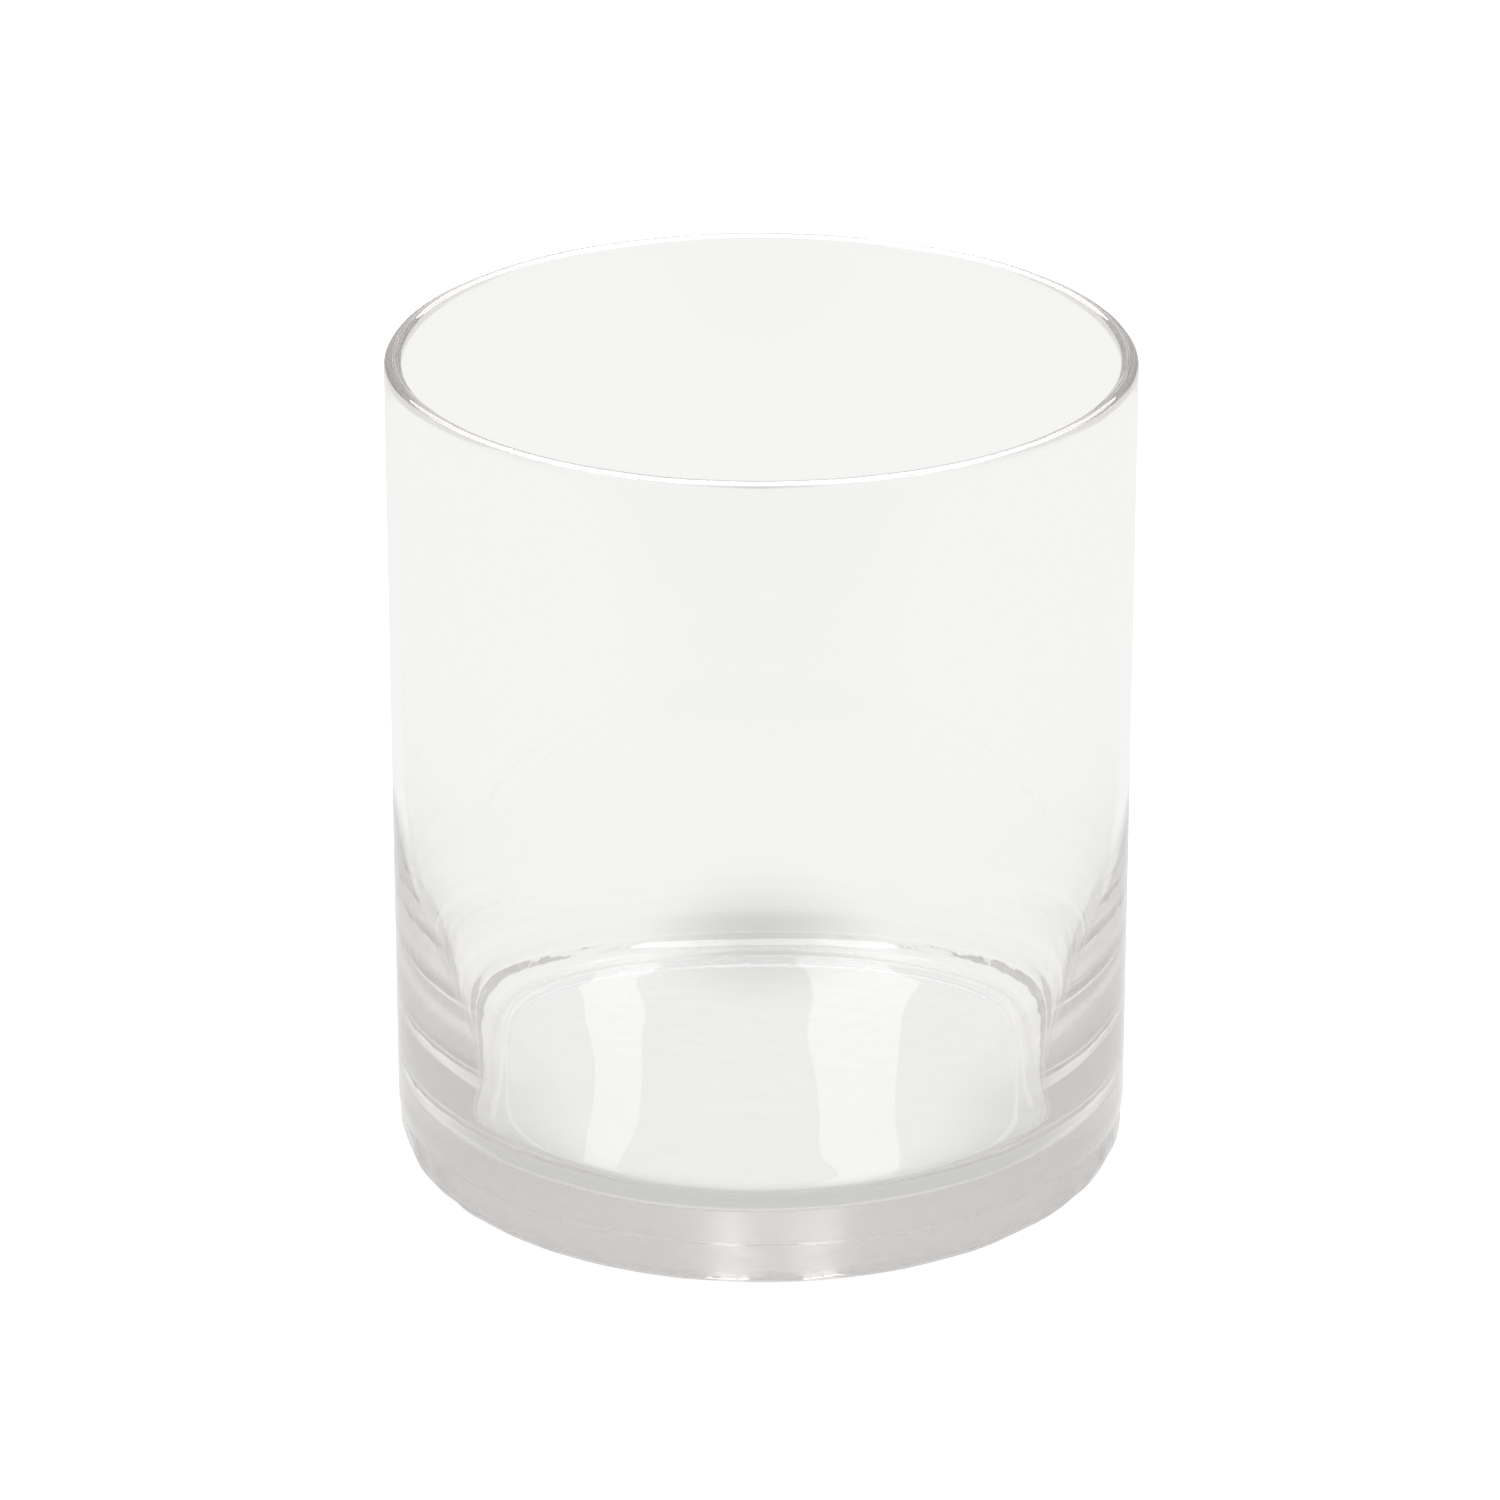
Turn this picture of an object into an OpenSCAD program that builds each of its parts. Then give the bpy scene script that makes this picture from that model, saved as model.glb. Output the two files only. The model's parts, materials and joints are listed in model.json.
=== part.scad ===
// Clear glass cylinder vase with a heavy base, in millimetres.
// +Z is up, and the origin is the centre of the ring that the vase stands on.
// The glass is made as five zones that meet face to face and share one axis.

/* [Body] */
// Outer diameter of the glass
outer_d = 130; // [100:1:170]
// Height from the table to the top of the lip
height = 148.5; // [110:0.5:200]

/* [Wall] */
// Thickness of the lip and of the straight land under it
lip_t = 3.2; // [2.2:0.1:4]
// Thickness at the thinnest place, about half way up
waist_t = 2; // [1.4:0.1:2.2]
// Height of the lip zone
lip_h = 4; // [3:0.5:6]
// Depth of the straight land below the lip
land_h = 20; // [10:1:25]

/* [Base] */
// Height of the inside floor above the table
floor_z = 11; // [9:0.1:16]
// Radius of the inside corner, between the floor and the wall
corner_r = 8.5; // [6:0.5:11]
// Extra thickness of the wall where it meets the inside corner
flare_t = 5.9; // [3:0.1:9]
// Height over which that extra thickness fades away
flare_h = 30; // [20:0.5:36]

/* [Foot] */
// Radius of the rounded outer heel
heel_r = 5.5; // [4:0.5:7]
// Width of the flat ring that touches the table
bearing_w = 6; // [4:0.5:8]
// Height of the flat recess under the middle of the base
recess_h = 0.4; // [0.2:0.1:0.8]

/* [Hidden] */
$fn = 180;
outer_r = outer_d / 2;
lip_bottom = height - lip_h;
land_bottom = lip_bottom - land_h;
// The wall is split in two where the thickening is mostly over.
split_z = floor_z + 1.1 * flare_h;
// The bearing ring lies between the heel's rounding and the recess.
bearing_out_r = outer_r - heel_r;
bearing_in_r = bearing_out_r - bearing_w;
// Inner edge of the foot zone at its top, inside the solid glass
foot_top_in_r = bearing_in_r - 5;
// Width of the soft step between the bearing ring and the recess
recess_edge = 3;
// Steps along each curved outline
corner_steps = 10;
flare_steps = 12;
waist_steps = 16;
recess_steps = 8;

// Smooth step from 0 to 1 as u goes from 0 to 1
function ease(u) = let(c = min(max(u, 0), 1)) c * c * (3 - 2 * c);

// Narrowing left by the rounded inside corner, at height h over the floor
function corner_in(h) =
    h >= corner_r ? 0 : corner_r - sqrt(pow(corner_r, 2) - pow(corner_r - h, 2));

// Thickness of the glass at height z: thin at the waist, thick at the floor, full at the lip
function wall_t(z) =
    waist_t
    + (lip_t - waist_t) * ease((z - split_z) / (land_bottom - split_z))
    + flare_t * exp(-pow((z - floor_z) / flare_h, 2)) * (1 - ease((z - split_z) / (land_bottom - split_z)))
    + corner_in(z - floor_z);

// Point of the inner outline at height z
function inner_point(z) = [outer_r - wall_t(z), z];

// Heights of the inner outline's points: close together in the corner, then even
corner_z = [for (i = [0 : corner_steps]) floor_z + corner_r * (1 - cos(90 * i / corner_steps))];
flare_z = [for (i = [1 : flare_steps])
    floor_z + corner_r + (split_z - floor_z - corner_r) * i / flare_steps];
waist_z = [for (i = [0 : waist_steps]) split_z + (land_bottom - split_z) * i / waist_steps];

// Point of the step into the recess, u from 0 at the recess to 1 at the bearing ring
function recess_point(u) =
    [bearing_in_r - recess_edge * (1 - u), recess_h * (1 - ease(u))];

module foot_ring() {
    color([0.80, 0.80, 0.80, 0.5])
    rotate_extrude() {
        // Heel: a true quarter round between the bearing ring and the outer wall
        intersection() {
            translate([bearing_out_r, heel_r]) circle(r = heel_r);
            translate([bearing_out_r, 0]) square([heel_r, heel_r]);
        }
        polygon([
            [bearing_in_r, 0], [bearing_out_r, 0],
            [bearing_out_r, heel_r], [foot_top_in_r, heel_r]
        ]);
    }
}

module base_disc() {
    color([0.84, 0.82, 0.82, 0.5])
    rotate_extrude()
    polygon(concat(
        [[0, recess_h]],
        [for (i = [0 : recess_steps]) recess_point(i / recess_steps)],
        [[foot_top_in_r, heel_r], [outer_r, heel_r], [outer_r, floor_z], [0, floor_z]]
    ));
}

module lower_wall() {
    color([0.88, 0.89, 0.89, 0.5])
    rotate_extrude()
    polygon(concat(
        [for (z = concat(corner_z, flare_z)) inner_point(z)],
        [[outer_r, split_z], [outer_r, floor_z]]
    ));
}

module side_wall() {
    color([0.93, 0.94, 0.94, 0.5])
    rotate_extrude()
    polygon(concat(
        [for (z = waist_z) inner_point(z)],
        [inner_point(lip_bottom), [outer_r, lip_bottom], [outer_r, split_z]]
    ));
}

module rim_bead() {
    color([0.96, 0.97, 0.97, 0.5])
    rotate_extrude() {
        translate([outer_r - lip_t, lip_bottom]) square([lip_t, lip_h - lip_t / 2]);
        // The lip is rounded over from its outer side to its inner side.
        intersection() {
            translate([outer_r - lip_t / 2, height - lip_t / 2]) circle(d = lip_t);
            translate([outer_r - lip_t, height - lip_t / 2]) square([lip_t, lip_t / 2]);
        }
    }
}

foot_ring();
base_disc();
lower_wall();
side_wall();
rim_bead();
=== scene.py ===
import json
import math

import bmesh
import bpy
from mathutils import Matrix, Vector, noise


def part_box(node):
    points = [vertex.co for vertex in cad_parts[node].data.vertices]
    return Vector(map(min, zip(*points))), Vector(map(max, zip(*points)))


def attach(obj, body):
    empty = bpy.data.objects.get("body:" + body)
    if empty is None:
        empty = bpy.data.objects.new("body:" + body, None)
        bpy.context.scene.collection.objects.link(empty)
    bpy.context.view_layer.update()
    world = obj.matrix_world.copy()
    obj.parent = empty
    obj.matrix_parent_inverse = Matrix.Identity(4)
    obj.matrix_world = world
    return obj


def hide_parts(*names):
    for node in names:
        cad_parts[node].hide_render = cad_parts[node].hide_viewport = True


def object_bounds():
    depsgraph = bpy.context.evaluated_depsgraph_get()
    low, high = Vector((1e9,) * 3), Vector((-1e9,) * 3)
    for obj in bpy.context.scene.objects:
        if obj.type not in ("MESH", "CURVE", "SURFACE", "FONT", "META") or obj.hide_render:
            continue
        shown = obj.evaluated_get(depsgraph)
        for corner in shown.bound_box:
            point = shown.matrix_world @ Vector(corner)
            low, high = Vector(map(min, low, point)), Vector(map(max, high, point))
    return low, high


# The clear glass cylinder vase. One revolved glass body replaces the five CAD zones, because a face
# between two zones would bend the light where the real glass has no face.

MM = 0.001

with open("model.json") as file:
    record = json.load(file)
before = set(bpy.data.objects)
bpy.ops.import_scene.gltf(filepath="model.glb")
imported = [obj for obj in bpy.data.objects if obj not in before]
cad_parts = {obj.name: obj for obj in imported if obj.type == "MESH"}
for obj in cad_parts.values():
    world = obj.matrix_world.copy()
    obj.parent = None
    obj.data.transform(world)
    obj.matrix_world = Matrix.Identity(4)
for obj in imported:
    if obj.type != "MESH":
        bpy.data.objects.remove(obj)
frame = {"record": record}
cad_low, cad_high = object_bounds()

# ---------------------------------------------------------------- sizes, from the frame
OUTER_R = (cad_high.x - cad_low.x) / 2
HEIGHT = cad_high.z
HEEL_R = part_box("foot_ring")[1].z
FLOOR_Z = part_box("base_disc")[1].z
SPLIT_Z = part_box("lower_wall")[1].z
LIP_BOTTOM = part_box("side_wall")[1].z
MOUTH = next(m for m in frame["record"]["mounts"] if m["name"] == "mouth")
LIP_T = OUTER_R - MOUTH["dims"]["r_mm"] * MM

# The rest repeats the CAD model's own numbers.
LAND_BOTTOM = LIP_BOTTOM - 20 * MM
WAIST_T = 2.0 * MM
CORNER_R = 8.5 * MM
FLARE_T = 5.9 * MM
FLARE_H = 30 * MM
BEARING_W = 6 * MM
RECESS_H = 0.4 * MM
RECESS_EDGE = 3 * MM
BEARING_OUT_R = OUTER_R - HEEL_R
BEARING_IN_R = BEARING_OUT_R - BEARING_W
INNER_FLOOR_R = OUTER_R - WAIST_T - FLARE_T - CORNER_R

# The mould leaves a small step round the glass. Below it the outside was chilled, so it is less even.
SEAM_Z = 9.6 * MM
SEAM_STEP = 0.35 * MM
SEAM_H = 0.6 * MM
# Height below the step over which the heel's waves grow to their full strength
SEAM_FADE = 2 * MM

# Steps along each stretch of the outline, and round the axis
STEPS = {
    "recess": 44,
    "recess_edge": 8,
    "bearing": 6,
    "heel": 16,
    "heel_wall": 5,
    "seam": 6,
    "outer_wall": 48,
    "lip": 12,
    "land": 2,
    "inner_wall": 60,
    "corner": 24,
    "floor": 20,
}
SEGMENTS = 352

# Height of the waves in the glass, and how far apart they are, for each stretch of its surface
WAVES = {
    "recess": (0.03 * MM, 4 * MM),
    "heel": (0.3 * MM, 6 * MM),
    "outside": (0.02 * MM, 24 * MM),
    "lip": (0.08 * MM, 9 * MM),
    "inside": (0.05 * MM, 26 * MM),
    "corner": (0.22 * MM, 17 * MM),
    "floor": (0.05 * MM, 20 * MM),
}


def ease(u):
    """Smooth step from 0 to 1 as u goes from 0 to 1."""
    u = min(max(u, 0.0), 1.0)
    return u * u * (3 - 2 * u)


def corner_in(h):
    """Narrowing left by the rounded inside corner, at height h over the floor."""
    if h >= CORNER_R:
        return 0.0
    return CORNER_R - math.sqrt(CORNER_R**2 - (CORNER_R - h) ** 2)


def wall_t(z):
    """Thickness of the glass at height z, as in the CAD model."""
    up = ease((z - SPLIT_Z) / (LAND_BOTTOM - SPLIT_Z))
    flare = FLARE_T * math.exp(-(((z - FLOOR_Z) / FLARE_H) ** 2)) * (1 - up)
    return WAIST_T + (LIP_T - WAIST_T) * up + flare + corner_in(z - FLOOR_Z)


def arc(cx, cz, radius, start, end, steps):
    """Points of an arc from start to end, in degrees, without its first point."""
    angles = [math.radians(start + (end - start) * i / steps) for i in range(1, steps + 1)]
    return [(cx + radius * math.cos(a), cz + radius * math.sin(a)) for a in angles]


def line(p, q, steps):
    """Points from p to q, without p."""
    return [
        (p[0] + (q[0] - p[0]) * i / steps, p[1] + (q[1] - p[1]) * i / steps)
        for i in range(1, steps + 1)
    ]


def fractions(steps):
    """Even fractions from 1 / steps up to 1."""
    return [i / steps for i in range(1, steps + 1)]


def outside_outline():
    """Radius and height along the glass, from under the middle of the base up to the top of the lip."""
    points = line((0, RECESS_H), (BEARING_IN_R - RECESS_EDGE, RECESS_H), STEPS["recess"])
    for u in fractions(STEPS["recess_edge"]):
        points.append((BEARING_IN_R - RECESS_EDGE * (1 - u), RECESS_H * (1 - ease(u))))
    points += line(points[-1], (BEARING_OUT_R, 0), STEPS["bearing"])
    points += arc(BEARING_OUT_R - SEAM_STEP, HEEL_R, HEEL_R, -90, 0, STEPS["heel"])
    points += line(points[-1], (OUTER_R - SEAM_STEP, SEAM_Z - SEAM_H), STEPS["heel_wall"])
    for u in fractions(STEPS["seam"]):
        points.append((OUTER_R - SEAM_STEP * (1 - ease(u)), SEAM_Z - SEAM_H * (1 - u)))
    points += line(points[-1], (OUTER_R, HEIGHT - LIP_T / 2), STEPS["outer_wall"])
    points += arc(OUTER_R - LIP_T / 2, HEIGHT - LIP_T / 2, LIP_T / 2, 0, 90, STEPS["lip"])
    return points


def inside_outline():
    """Radius and height from the top of the lip down the inside and along the floor, up to near the axis."""
    points = arc(OUTER_R - LIP_T / 2, HEIGHT - LIP_T / 2, LIP_T / 2, 90, 180, STEPS["lip"])
    points += line(points[-1], (OUTER_R - LIP_T, LIP_BOTTOM), STEPS["land"])
    corner_top = FLOOR_Z + CORNER_R
    for u in fractions(STEPS["inner_wall"]):
        z = LIP_BOTTOM + (corner_top - LIP_BOTTOM) * u
        points.append((OUTER_R - wall_t(z), z))
    for u in fractions(STEPS["corner"]):
        z = FLOOR_Z + CORNER_R * (1 - math.sin(math.radians(90 * u)))
        points.append((OUTER_R - wall_t(z), z))
    floor_r = points[-1][0]
    for u in fractions(STEPS["floor"])[:-1]:
        points.append((floor_r * (1 - u), FLOOR_Z))
    return points


def wave(stretch, place):
    """Offset of the surface at a place, for one stretch of the glass."""
    height, length = WAVES[stretch]
    return height * noise.noise(place / length)


def outside_relief(place):
    """Offset of the outer surface: rippled recess and heel, nearly true wall, slightly uneven lip."""
    radius = math.hypot(place.x, place.y)
    seam_foot = SEAM_Z - SEAM_H
    above = ease((place.z - seam_foot) / SEAM_H)
    below = ease((seam_foot - place.z) / SEAM_FADE)
    lip = ease((place.z - LIP_BOTTOM) / (HEIGHT - LIP_BOTTOM))
    # The waves die out before the ring that the vase stands on, so it stays flat.
    recess = 1 - ease((radius - BEARING_IN_R) / RECESS_EDGE + 2)
    heel = ease(2 * (radius - BEARING_OUT_R) / HEEL_R) * ease(3 * place.z / HEEL_R)
    return (
        recess * wave("recess", place)
        + below * heel * wave("heel", place)
        + above * (1 - lip) * wave("outside", place)
        + lip * wave("lip", place)
    )


def inside_relief(place):
    """Offset of the inner surface: the corner is the least even, because the glass was still soft there."""
    radius = math.hypot(place.x, place.y)
    floor = 1 - ease((radius - (INNER_FLOOR_R - CORNER_R)) / (1.5 * CORNER_R))
    wall = ease((place.z - FLOOR_Z - CORNER_R / 2) / (2 * CORNER_R))
    lip = ease((place.z - LIP_BOTTOM) / (HEIGHT - LIP_BOTTOM))
    return (
        floor * wave("floor", place)
        + (1 - floor) * (1 - wall) * wave("corner", place)
        + wall * (1 - lip) * wave("inside", place)
        + lip * wave("lip", place)
    )


def revolve(name, outline, reliefs):
    """Closed body of revolution whose outline starts and ends on the axis, with a relief for each ring."""
    bm = bmesh.new()
    rings = []
    for k, ((r, z), relief) in enumerate(zip(outline, reliefs)):
        before, after = outline[max(k - 1, 0)], outline[min(k + 1, len(outline) - 1)]
        slope = Vector((after[1] - before[1], 0, before[0] - after[0])).normalized()
        ring = []
        for s in range(1 if r == 0 else SEGMENTS):
            a = 2 * math.pi * s / SEGMENTS
            place = Vector((r * math.cos(a), r * math.sin(a), z))
            normal = Vector((slope.x * math.cos(a), slope.x * math.sin(a), slope.z))
            ring.append(bm.verts.new(place + relief(place) * normal))
        rings.append(ring)
    for lower, upper in zip(rings, rings[1:]):
        for s in range(SEGMENTS):
            t = (s + 1) % SEGMENTS
            if len(lower) == 1:
                bm.faces.new((lower[0], upper[t], upper[s]))
            elif len(upper) == 1:
                bm.faces.new((lower[s], lower[t], upper[0]))
            else:
                bm.faces.new((lower[s], lower[t], upper[t], upper[s]))
    bmesh.ops.recalc_face_normals(bm, faces=bm.faces)
    mesh = bpy.data.meshes.new(name)
    bm.to_mesh(mesh)
    bm.free()
    for p in mesh.polygons:
        p.use_smooth = True
    piece = bpy.data.objects.new(name, mesh)
    bpy.context.scene.collection.objects.link(piece)
    return piece


def make_glass():
    """The whole glass body, from the middle of its underside round to the middle of its inner floor."""
    outside = [(0.0, RECESS_H)] + outside_outline()
    inside = inside_outline() + [(0.0, FLOOR_Z)]
    reliefs = [outside_relief] * len(outside) + [inside_relief] * len(inside)
    return revolve("vase_glass", outside + inside, reliefs)


# ---------------------------------------------------------------- node helpers
def math_node(nt, operation, first, second):
    """Math node whose inputs are sockets or numbers."""
    node = nt.nodes.new("ShaderNodeMath")
    node.operation = operation
    for socket, value in zip(node.inputs, (first, second)):
        if isinstance(value, (int, float)):
            socket.default_value = value
        else:
            nt.links.new(value, socket)
    return node.outputs[0]


def noise_node(nt, coords, size, detail):
    """Even noise, from 0 to 1, whose features are about a given size."""
    node = nt.nodes.new("ShaderNodeTexNoise")
    node.inputs["Scale"].default_value = 1 / size
    node.inputs["Detail"].default_value = detail
    nt.links.new(coords, node.inputs["Vector"])
    return node.outputs["Fac"]


def soft_step(nt, value, start, end, low, high):
    """Goes smoothly from low to high as value goes from start to end."""
    node = nt.nodes.new("ShaderNodeMapRange")
    node.interpolation_type = "SMOOTHSTEP"
    nt.links.new(value, node.inputs["Value"])
    for name, number in (("From Min", start), ("From Max", end), ("To Min", low), ("To Max", high)):
        node.inputs[name].default_value = number
    return node.outputs["Result"]


# ---------------------------------------------------------------- glass
GLASS_IOR = 1.52
GLASS_TINT = (0.92, 0.910, 0.906, 1)
GLASS_DENSITY = 20.0
UNDERSIDE_ROUGHNESS = 0.25
# Height over which the underside's satin surface gives way to the heel's
UNDERSIDE_FADE = (RECESS_H, 3 * RECESS_H)
SATIN_SIZE = 9 * MM
SATIN_SPREAD = (0.35, 0.65)
SATIN_ROUGHNESS = (0.0, 0.06)
GRAIN_SIZE = 6 * MM
GRAIN_H = 0.3 * MM


def glass_material():
    """Clear glass, polished except below the mould's step, where it is a little satin and uneven."""
    mat = bpy.data.materials.new("clear_glass")
    mat.use_nodes = True
    nt = mat.node_tree
    shader = nt.nodes["Principled BSDF"]
    shader.inputs["Base Color"].default_value = (1, 1, 1, 1)
    shader.inputs["Transmission Weight"].default_value = 1.0
    shader.inputs["IOR"].default_value = GLASS_IOR
    absorb = nt.nodes.new("ShaderNodeVolumeAbsorption")
    absorb.inputs["Color"].default_value = GLASS_TINT
    absorb.inputs["Density"].default_value = GLASS_DENSITY
    nt.links.new(absorb.outputs[0], nt.nodes["Material Output"].inputs["Volume"])

    coords = nt.nodes.new("ShaderNodeTexCoord").outputs["Object"]
    xyz = nt.nodes.new("ShaderNodeSeparateXYZ")
    nt.links.new(coords, xyz.inputs[0])
    z = xyz.outputs["Z"]
    chilled = soft_step(nt, z, SEAM_Z - 2 * SEAM_H, SEAM_Z, 1, 0)
    satin = soft_step(nt, noise_node(nt, coords, SATIN_SIZE, 3), *SATIN_SPREAD, *SATIN_ROUGHNESS)
    heel = math_node(nt, "MULTIPLY", chilled, satin)
    under = soft_step(nt, z, *UNDERSIDE_FADE, UNDERSIDE_ROUGHNESS, 0)
    nt.links.new(math_node(nt, "MAXIMUM", heel, under), shader.inputs["Roughness"])

    bump = nt.nodes.new("ShaderNodeBump")
    bump.inputs["Distance"].default_value = GRAIN_H
    nt.links.new(noise_node(nt, coords, GRAIN_SIZE, 2), bump.inputs["Height"])
    grained = soft_step(nt, z, *UNDERSIDE_FADE, 0, 1)
    nt.links.new(math_node(nt, "MULTIPLY", chilled, grained), bump.inputs["Strength"])
    nt.links.new(bump.outputs[0], shader.inputs["Normal"])
    return mat


vase = make_glass()
vase.data.materials.append(glass_material())
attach(vase, "root")
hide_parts("foot_ring", "base_disc", "lower_wall", "side_wall", "rim_bead")


# ---------------------------------------------------------------- stage
# The camera sees a white floor and surround. The light in the glass sees a plain room: a lit table that is
# dimmer further away, shade under and behind the base, two tall windows behind, and a light overhead.
FLOOR_R = 6.0
FLOOR_DROP = 0.2 * MM
SEEN_COLOUR = (0.2, 0.2, 0.2, 1)
SEEN_GLOW = 0.93
TABLE_TINT = (1.0, 1.0, 0.988, 1)
TABLE_LIT = 0.92

# The lit pool, which fades out between its radius and POOL_FADE times that
POOL_CENTRE = (-0.05, 0.12)
POOL_R = 0.5
POOL_FADE = 1.8
POOL_DIM = 0.8
# The table is dimmer towards the front too.
FRONT_DARK_Y = -0.38
FRONT_LIT_Y = -0.26
FRONT_DIM = 0.78

# Shade under the front half of the foot, as a ring. Its edges are in outer radii from the axis.
FOOT_SHADE = 0.33
FOOT_SHADE_INNER = (0.55, 0.78)
FOOT_SHADE_OUTER = (1.0, 1.25)
FOOT_SHADE_Y = (-0.03, 0)
# Shade behind the base, as an oval. Its place and half widths are in outer radii.
BACK_SHADE = 0.35
BACK_SHADE_Y = 1.1
BACK_SHADE_SIZE = (0.4, 0.68)
BACK_SHADE_FADE = 1.1

# Brightness of the surround at the horizon, where the height's sine is SKY_SINE, and straight above
HORIZON_TONE = 0.6
SKY_SINE = 0.32
SKY_TONE = 0.84
TOP_TONE = 0.9

# Each window's azimuth, where 0 is straight behind the vase, and its width, in degrees
WINDOWS = {"window_left": (-6.0, 3.3), "window_right": (3.6, 3.5)}
WINDOW_Y = 3.0
WINDOW_LOW = 0.02
WINDOW_TOP = 3.6
WINDOW_RADIANCE = 0.95
OVERHEAD_PLACE = Vector((0, 0.5, 1.3))
OVERHEAD_SIZE = 2.0
OVERHEAD_RADIANCE = 4.5


def grey(tone):
    return (tone, tone, tone, 1)


def seen_and_real(nt, seen, real, out):
    """Shows one shader to the camera and another to the light that comes through or off the glass."""
    path = nt.nodes.new("ShaderNodeLightPath")
    mix = nt.nodes.new("ShaderNodeMixShader")
    nt.links.new(path.outputs["Is Camera Ray"], mix.inputs[0])
    nt.links.new(real.outputs[0], mix.inputs[1])
    nt.links.new(seen.outputs[0], mix.inputs[2])
    nt.links.new(mix.outputs[0], out.inputs["Surface"])


def distance_node(nt, position, centre, size):
    """Distance from a centre on the floor, measured in the x and y sizes given."""
    place = nt.nodes.new("ShaderNodeMapping")
    place.vector_type = "TEXTURE"
    nt.links.new(position, place.inputs["Vector"])
    place.inputs["Location"].default_value = (centre[0], centre[1], 0)
    place.inputs["Scale"].default_value = (size[0], size[1], 1)
    length = nt.nodes.new("ShaderNodeVectorMath")
    length.operation = "LENGTH"
    nt.links.new(place.outputs["Vector"], length.inputs[0])
    return length.outputs["Value"]


def table_glow(nt):
    """Brightness of the table: a lit pool round the vase, dim beyond it, with the base's own soft shade."""
    position = nt.nodes.new("ShaderNodeNewGeometry").outputs["Position"]
    xyz = nt.nodes.new("ShaderNodeSeparateXYZ")
    nt.links.new(position, xyz.inputs[0])
    y = xyz.outputs["Y"]
    from_pool = distance_node(nt, position, POOL_CENTRE, (POOL_R, POOL_R))
    pool = soft_step(nt, from_pool, 1, POOL_FADE, 1, POOL_DIM)
    near = soft_step(nt, y, FRONT_DARK_Y, FRONT_LIT_Y, FRONT_DIM, 1)

    from_axis = distance_node(nt, position, (0, 0), (OUTER_R, OUTER_R))
    inner = soft_step(nt, from_axis, *FOOT_SHADE_INNER, 0, 1)
    outer = soft_step(nt, from_axis, *FOOT_SHADE_OUTER, 1, 0)
    front_half = soft_step(nt, y, *FOOT_SHADE_Y, FOOT_SHADE, 0)
    foot = math_node(nt, "MULTIPLY", math_node(nt, "MULTIPLY", inner, outer), front_half)

    half_widths = [OUTER_R * size for size in BACK_SHADE_SIZE]
    from_spot = distance_node(nt, position, (0, BACK_SHADE_Y * OUTER_R), half_widths)
    spot = soft_step(nt, from_spot, 0, BACK_SHADE_FADE, BACK_SHADE, 0)

    glow = math_node(nt, "MULTIPLY", math_node(nt, "MULTIPLY", pool, near), TABLE_LIT)
    glow = math_node(nt, "MULTIPLY", glow, math_node(nt, "SUBTRACT", 1, foot))
    return math_node(nt, "MULTIPLY", glow, math_node(nt, "SUBTRACT", 1, spot))


def floor_material():
    """White with soft shadows to the camera, and the lit table to the light in the glass."""
    mat = bpy.data.materials.new("pale_floor")
    mat.use_nodes = True
    nt = mat.node_tree
    nt.nodes.clear()
    out = nt.nodes.new("ShaderNodeOutputMaterial")
    seen = nt.nodes.new("ShaderNodeAddShader")
    shade = nt.nodes.new("ShaderNodeBsdfDiffuse")
    shade.inputs["Color"].default_value = SEEN_COLOUR
    glow = nt.nodes.new("ShaderNodeEmission")
    glow.inputs["Strength"].default_value = SEEN_GLOW
    nt.links.new(shade.outputs[0], seen.inputs[0])
    nt.links.new(glow.outputs[0], seen.inputs[1])
    real = nt.nodes.new("ShaderNodeEmission")
    real.inputs["Color"].default_value = TABLE_TINT
    nt.links.new(table_glow(nt), real.inputs["Strength"])
    seen_and_real(nt, seen, real, out)
    return mat


def make_floor():
    bm = bmesh.new()
    bmesh.ops.create_circle(bm, cap_ends=True, radius=FLOOR_R, segments=64)
    mesh = bpy.data.meshes.new("studio_floor")
    bm.to_mesh(mesh)
    bm.free()
    floor = bpy.data.objects.new("studio_floor", mesh)
    floor.location = (0, 0, -FLOOR_DROP)
    bpy.context.scene.collection.objects.link(floor)
    mesh.materials.append(floor_material())


def make_world():
    world = bpy.data.worlds.new("studio")
    bpy.context.scene.world = world
    world.use_nodes = True
    nt = world.node_tree
    out = nt.nodes["World Output"]
    real = nt.nodes["Background"]
    real.inputs["Strength"].default_value = 1.0
    seen = nt.nodes.new("ShaderNodeBackground")
    seen.inputs["Color"].default_value = grey(1)
    coords = nt.nodes.new("ShaderNodeTexCoord")
    xyz = nt.nodes.new("ShaderNodeSeparateXYZ")
    nt.links.new(coords.outputs["Generated"], xyz.inputs[0])
    ramp = nt.nodes.new("ShaderNodeValToRGB")
    stops = ramp.color_ramp.elements
    stops[0].color = grey(HORIZON_TONE)
    stops[1].color = grey(TOP_TONE)
    stops.new(SKY_SINE).color = grey(SKY_TONE)
    nt.links.new(xyz.outputs["Z"], ramp.inputs[0])
    nt.links.new(ramp.outputs[0], real.inputs["Color"])
    seen_and_real(nt, seen, real, out)


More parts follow.
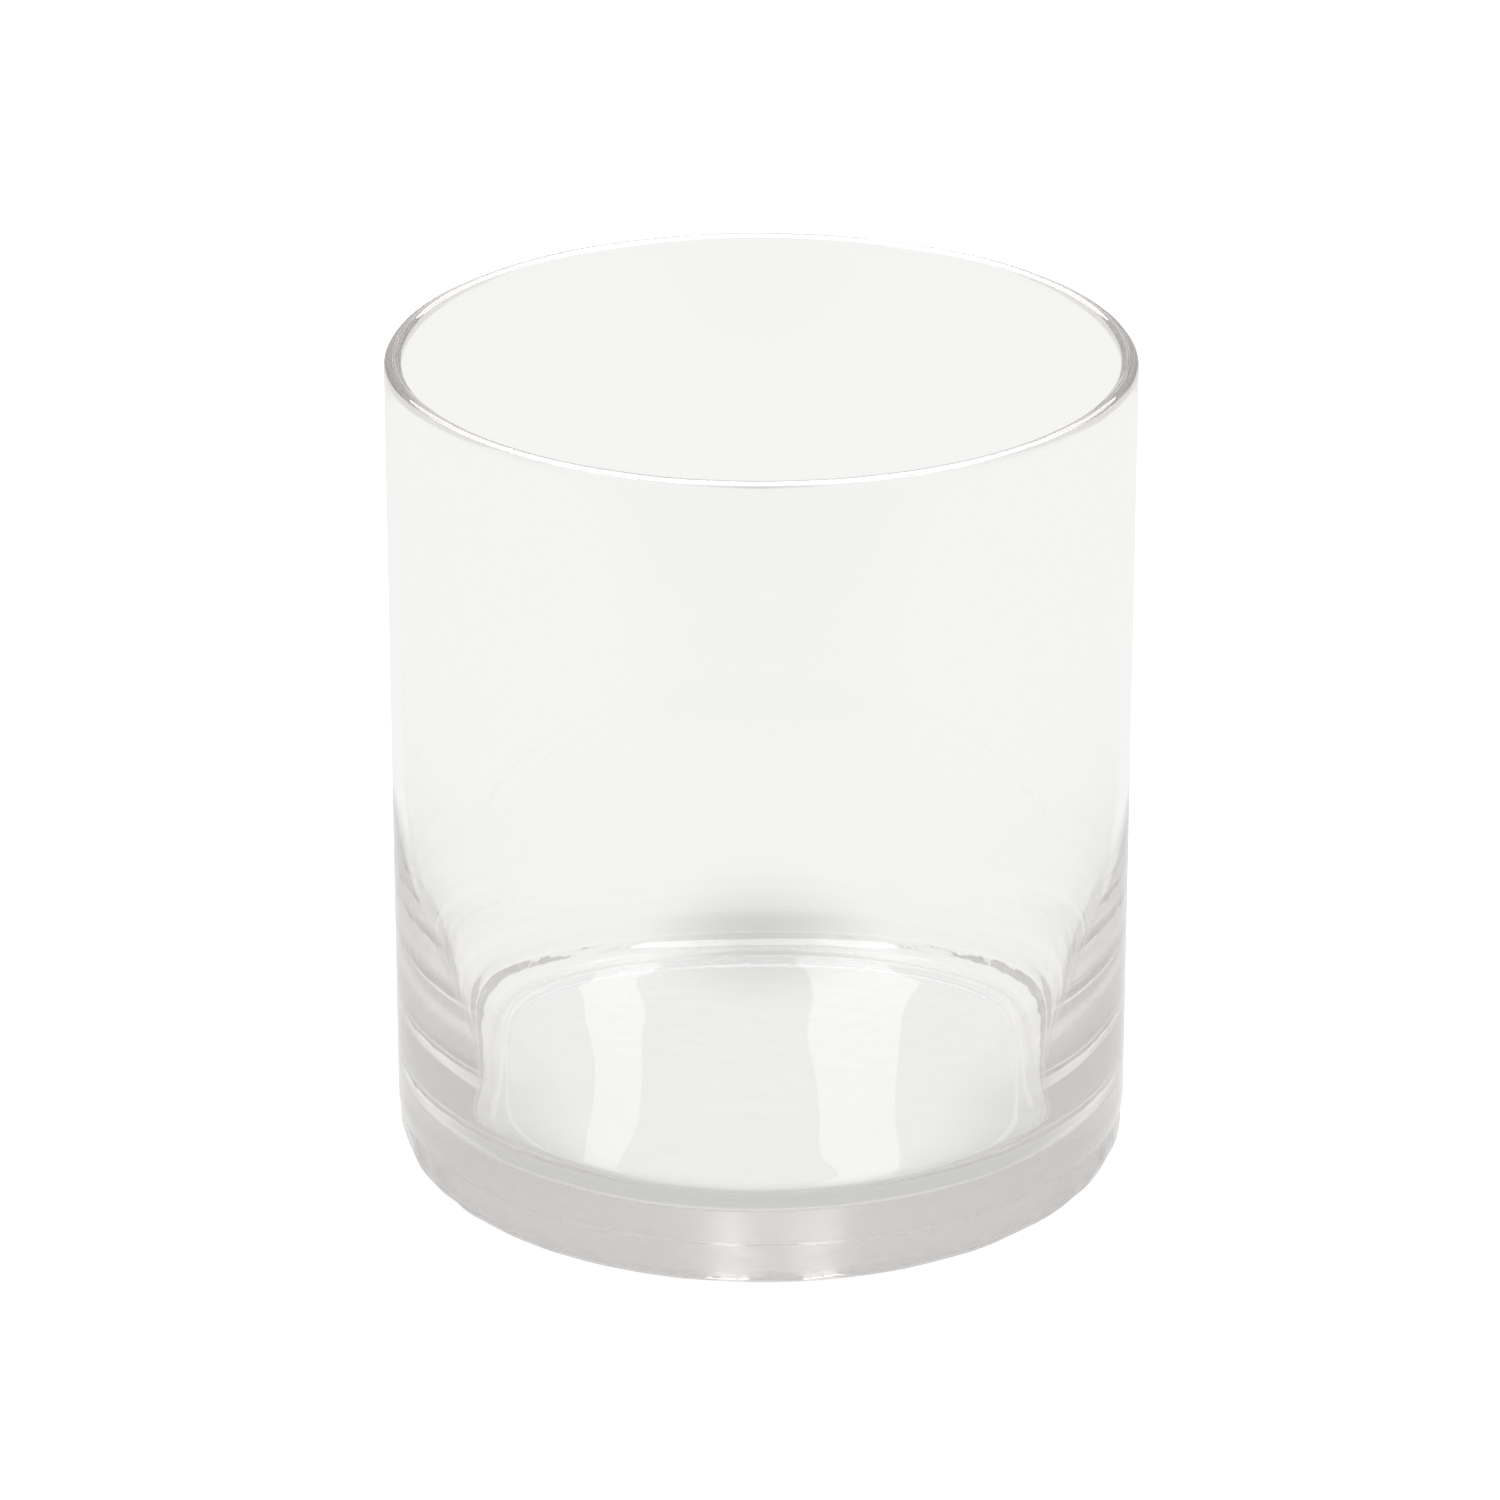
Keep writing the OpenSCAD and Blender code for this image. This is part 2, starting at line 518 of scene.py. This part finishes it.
def area_light(name, place, target, width, height, radiance):
    """Rectangular light of an even brightness that faces a target and that the camera doesn't see."""
    data = bpy.data.lights.new(name, "AREA")
    data.shape = "RECTANGLE"
    data.size = width
    data.size_y = height
    data.energy = radiance * math.pi * width * height
    lamp = bpy.data.objects.new(name, data)
    lamp.location = place
    lamp.rotation_euler = (place - target).to_track_quat("Z", "Y").to_euler()
    lamp.visible_camera = False
    bpy.context.scene.collection.objects.link(lamp)
    return lamp


def tall_window(name, azimuth, span):
    """Tall soft light that stands behind the vase, from near the floor up."""
    a = math.radians(azimuth)
    place = Vector((math.sin(a) * WINDOW_Y, math.cos(a) * WINDOW_Y, (WINDOW_LOW + WINDOW_TOP) / 2))
    level = Vector((0, 0, place.z))
    area_light(name, place, level, math.radians(span) * WINDOW_Y, WINDOW_TOP - WINDOW_LOW, WINDOW_RADIANCE)


def overhead_light():
    """Large soft light over and behind the vase, which shows as highlights but not through the glass."""
    middle = Vector((0, 0, HEIGHT / 2))
    lamp = area_light("overhead", OVERHEAD_PLACE, middle, OVERHEAD_SIZE, OVERHEAD_SIZE, OVERHEAD_RADIANCE)
    lamp.visible_transmission = False


make_floor()
make_world()
for window, (azimuth, span) in WINDOWS.items():
    tall_window(window, azimuth, span)
overhead_light()

# ---------------------------------------------------------------- camera
CAMERA_ELEVATION = math.radians(22.8)
CAMERA_DISTANCE = 19.5 * OUTER_R
CAMERA_LENS = 172.7
AIM = Vector((-0.030 * OUTER_R, 0, 1.140 * OUTER_R))

camera_data = bpy.data.cameras.new("camera")
camera_data.lens = CAMERA_LENS
camera_data.sensor_width = 36
camera = bpy.data.objects.new("camera", camera_data)
bpy.context.scene.collection.objects.link(camera)
toward = Vector((0, -math.cos(CAMERA_ELEVATION), math.sin(CAMERA_ELEVATION)))
camera.location = AIM + CAMERA_DISTANCE * toward
camera.rotation_euler = (-toward).to_track_quat("-Z", "Y").to_euler()
bpy.context.scene.camera = camera

# Light bounces many times inside the thick base.
GLASS_BOUNCES = 128

scene = bpy.context.scene
scene.view_settings.view_transform = "Standard"
scene.cycles.max_bounces = GLASS_BOUNCES
scene.cycles.transmission_bounces = GLASS_BOUNCES
scene.cycles.glossy_bounces = GLASS_BOUNCES
scene.cycles.use_denoising = True
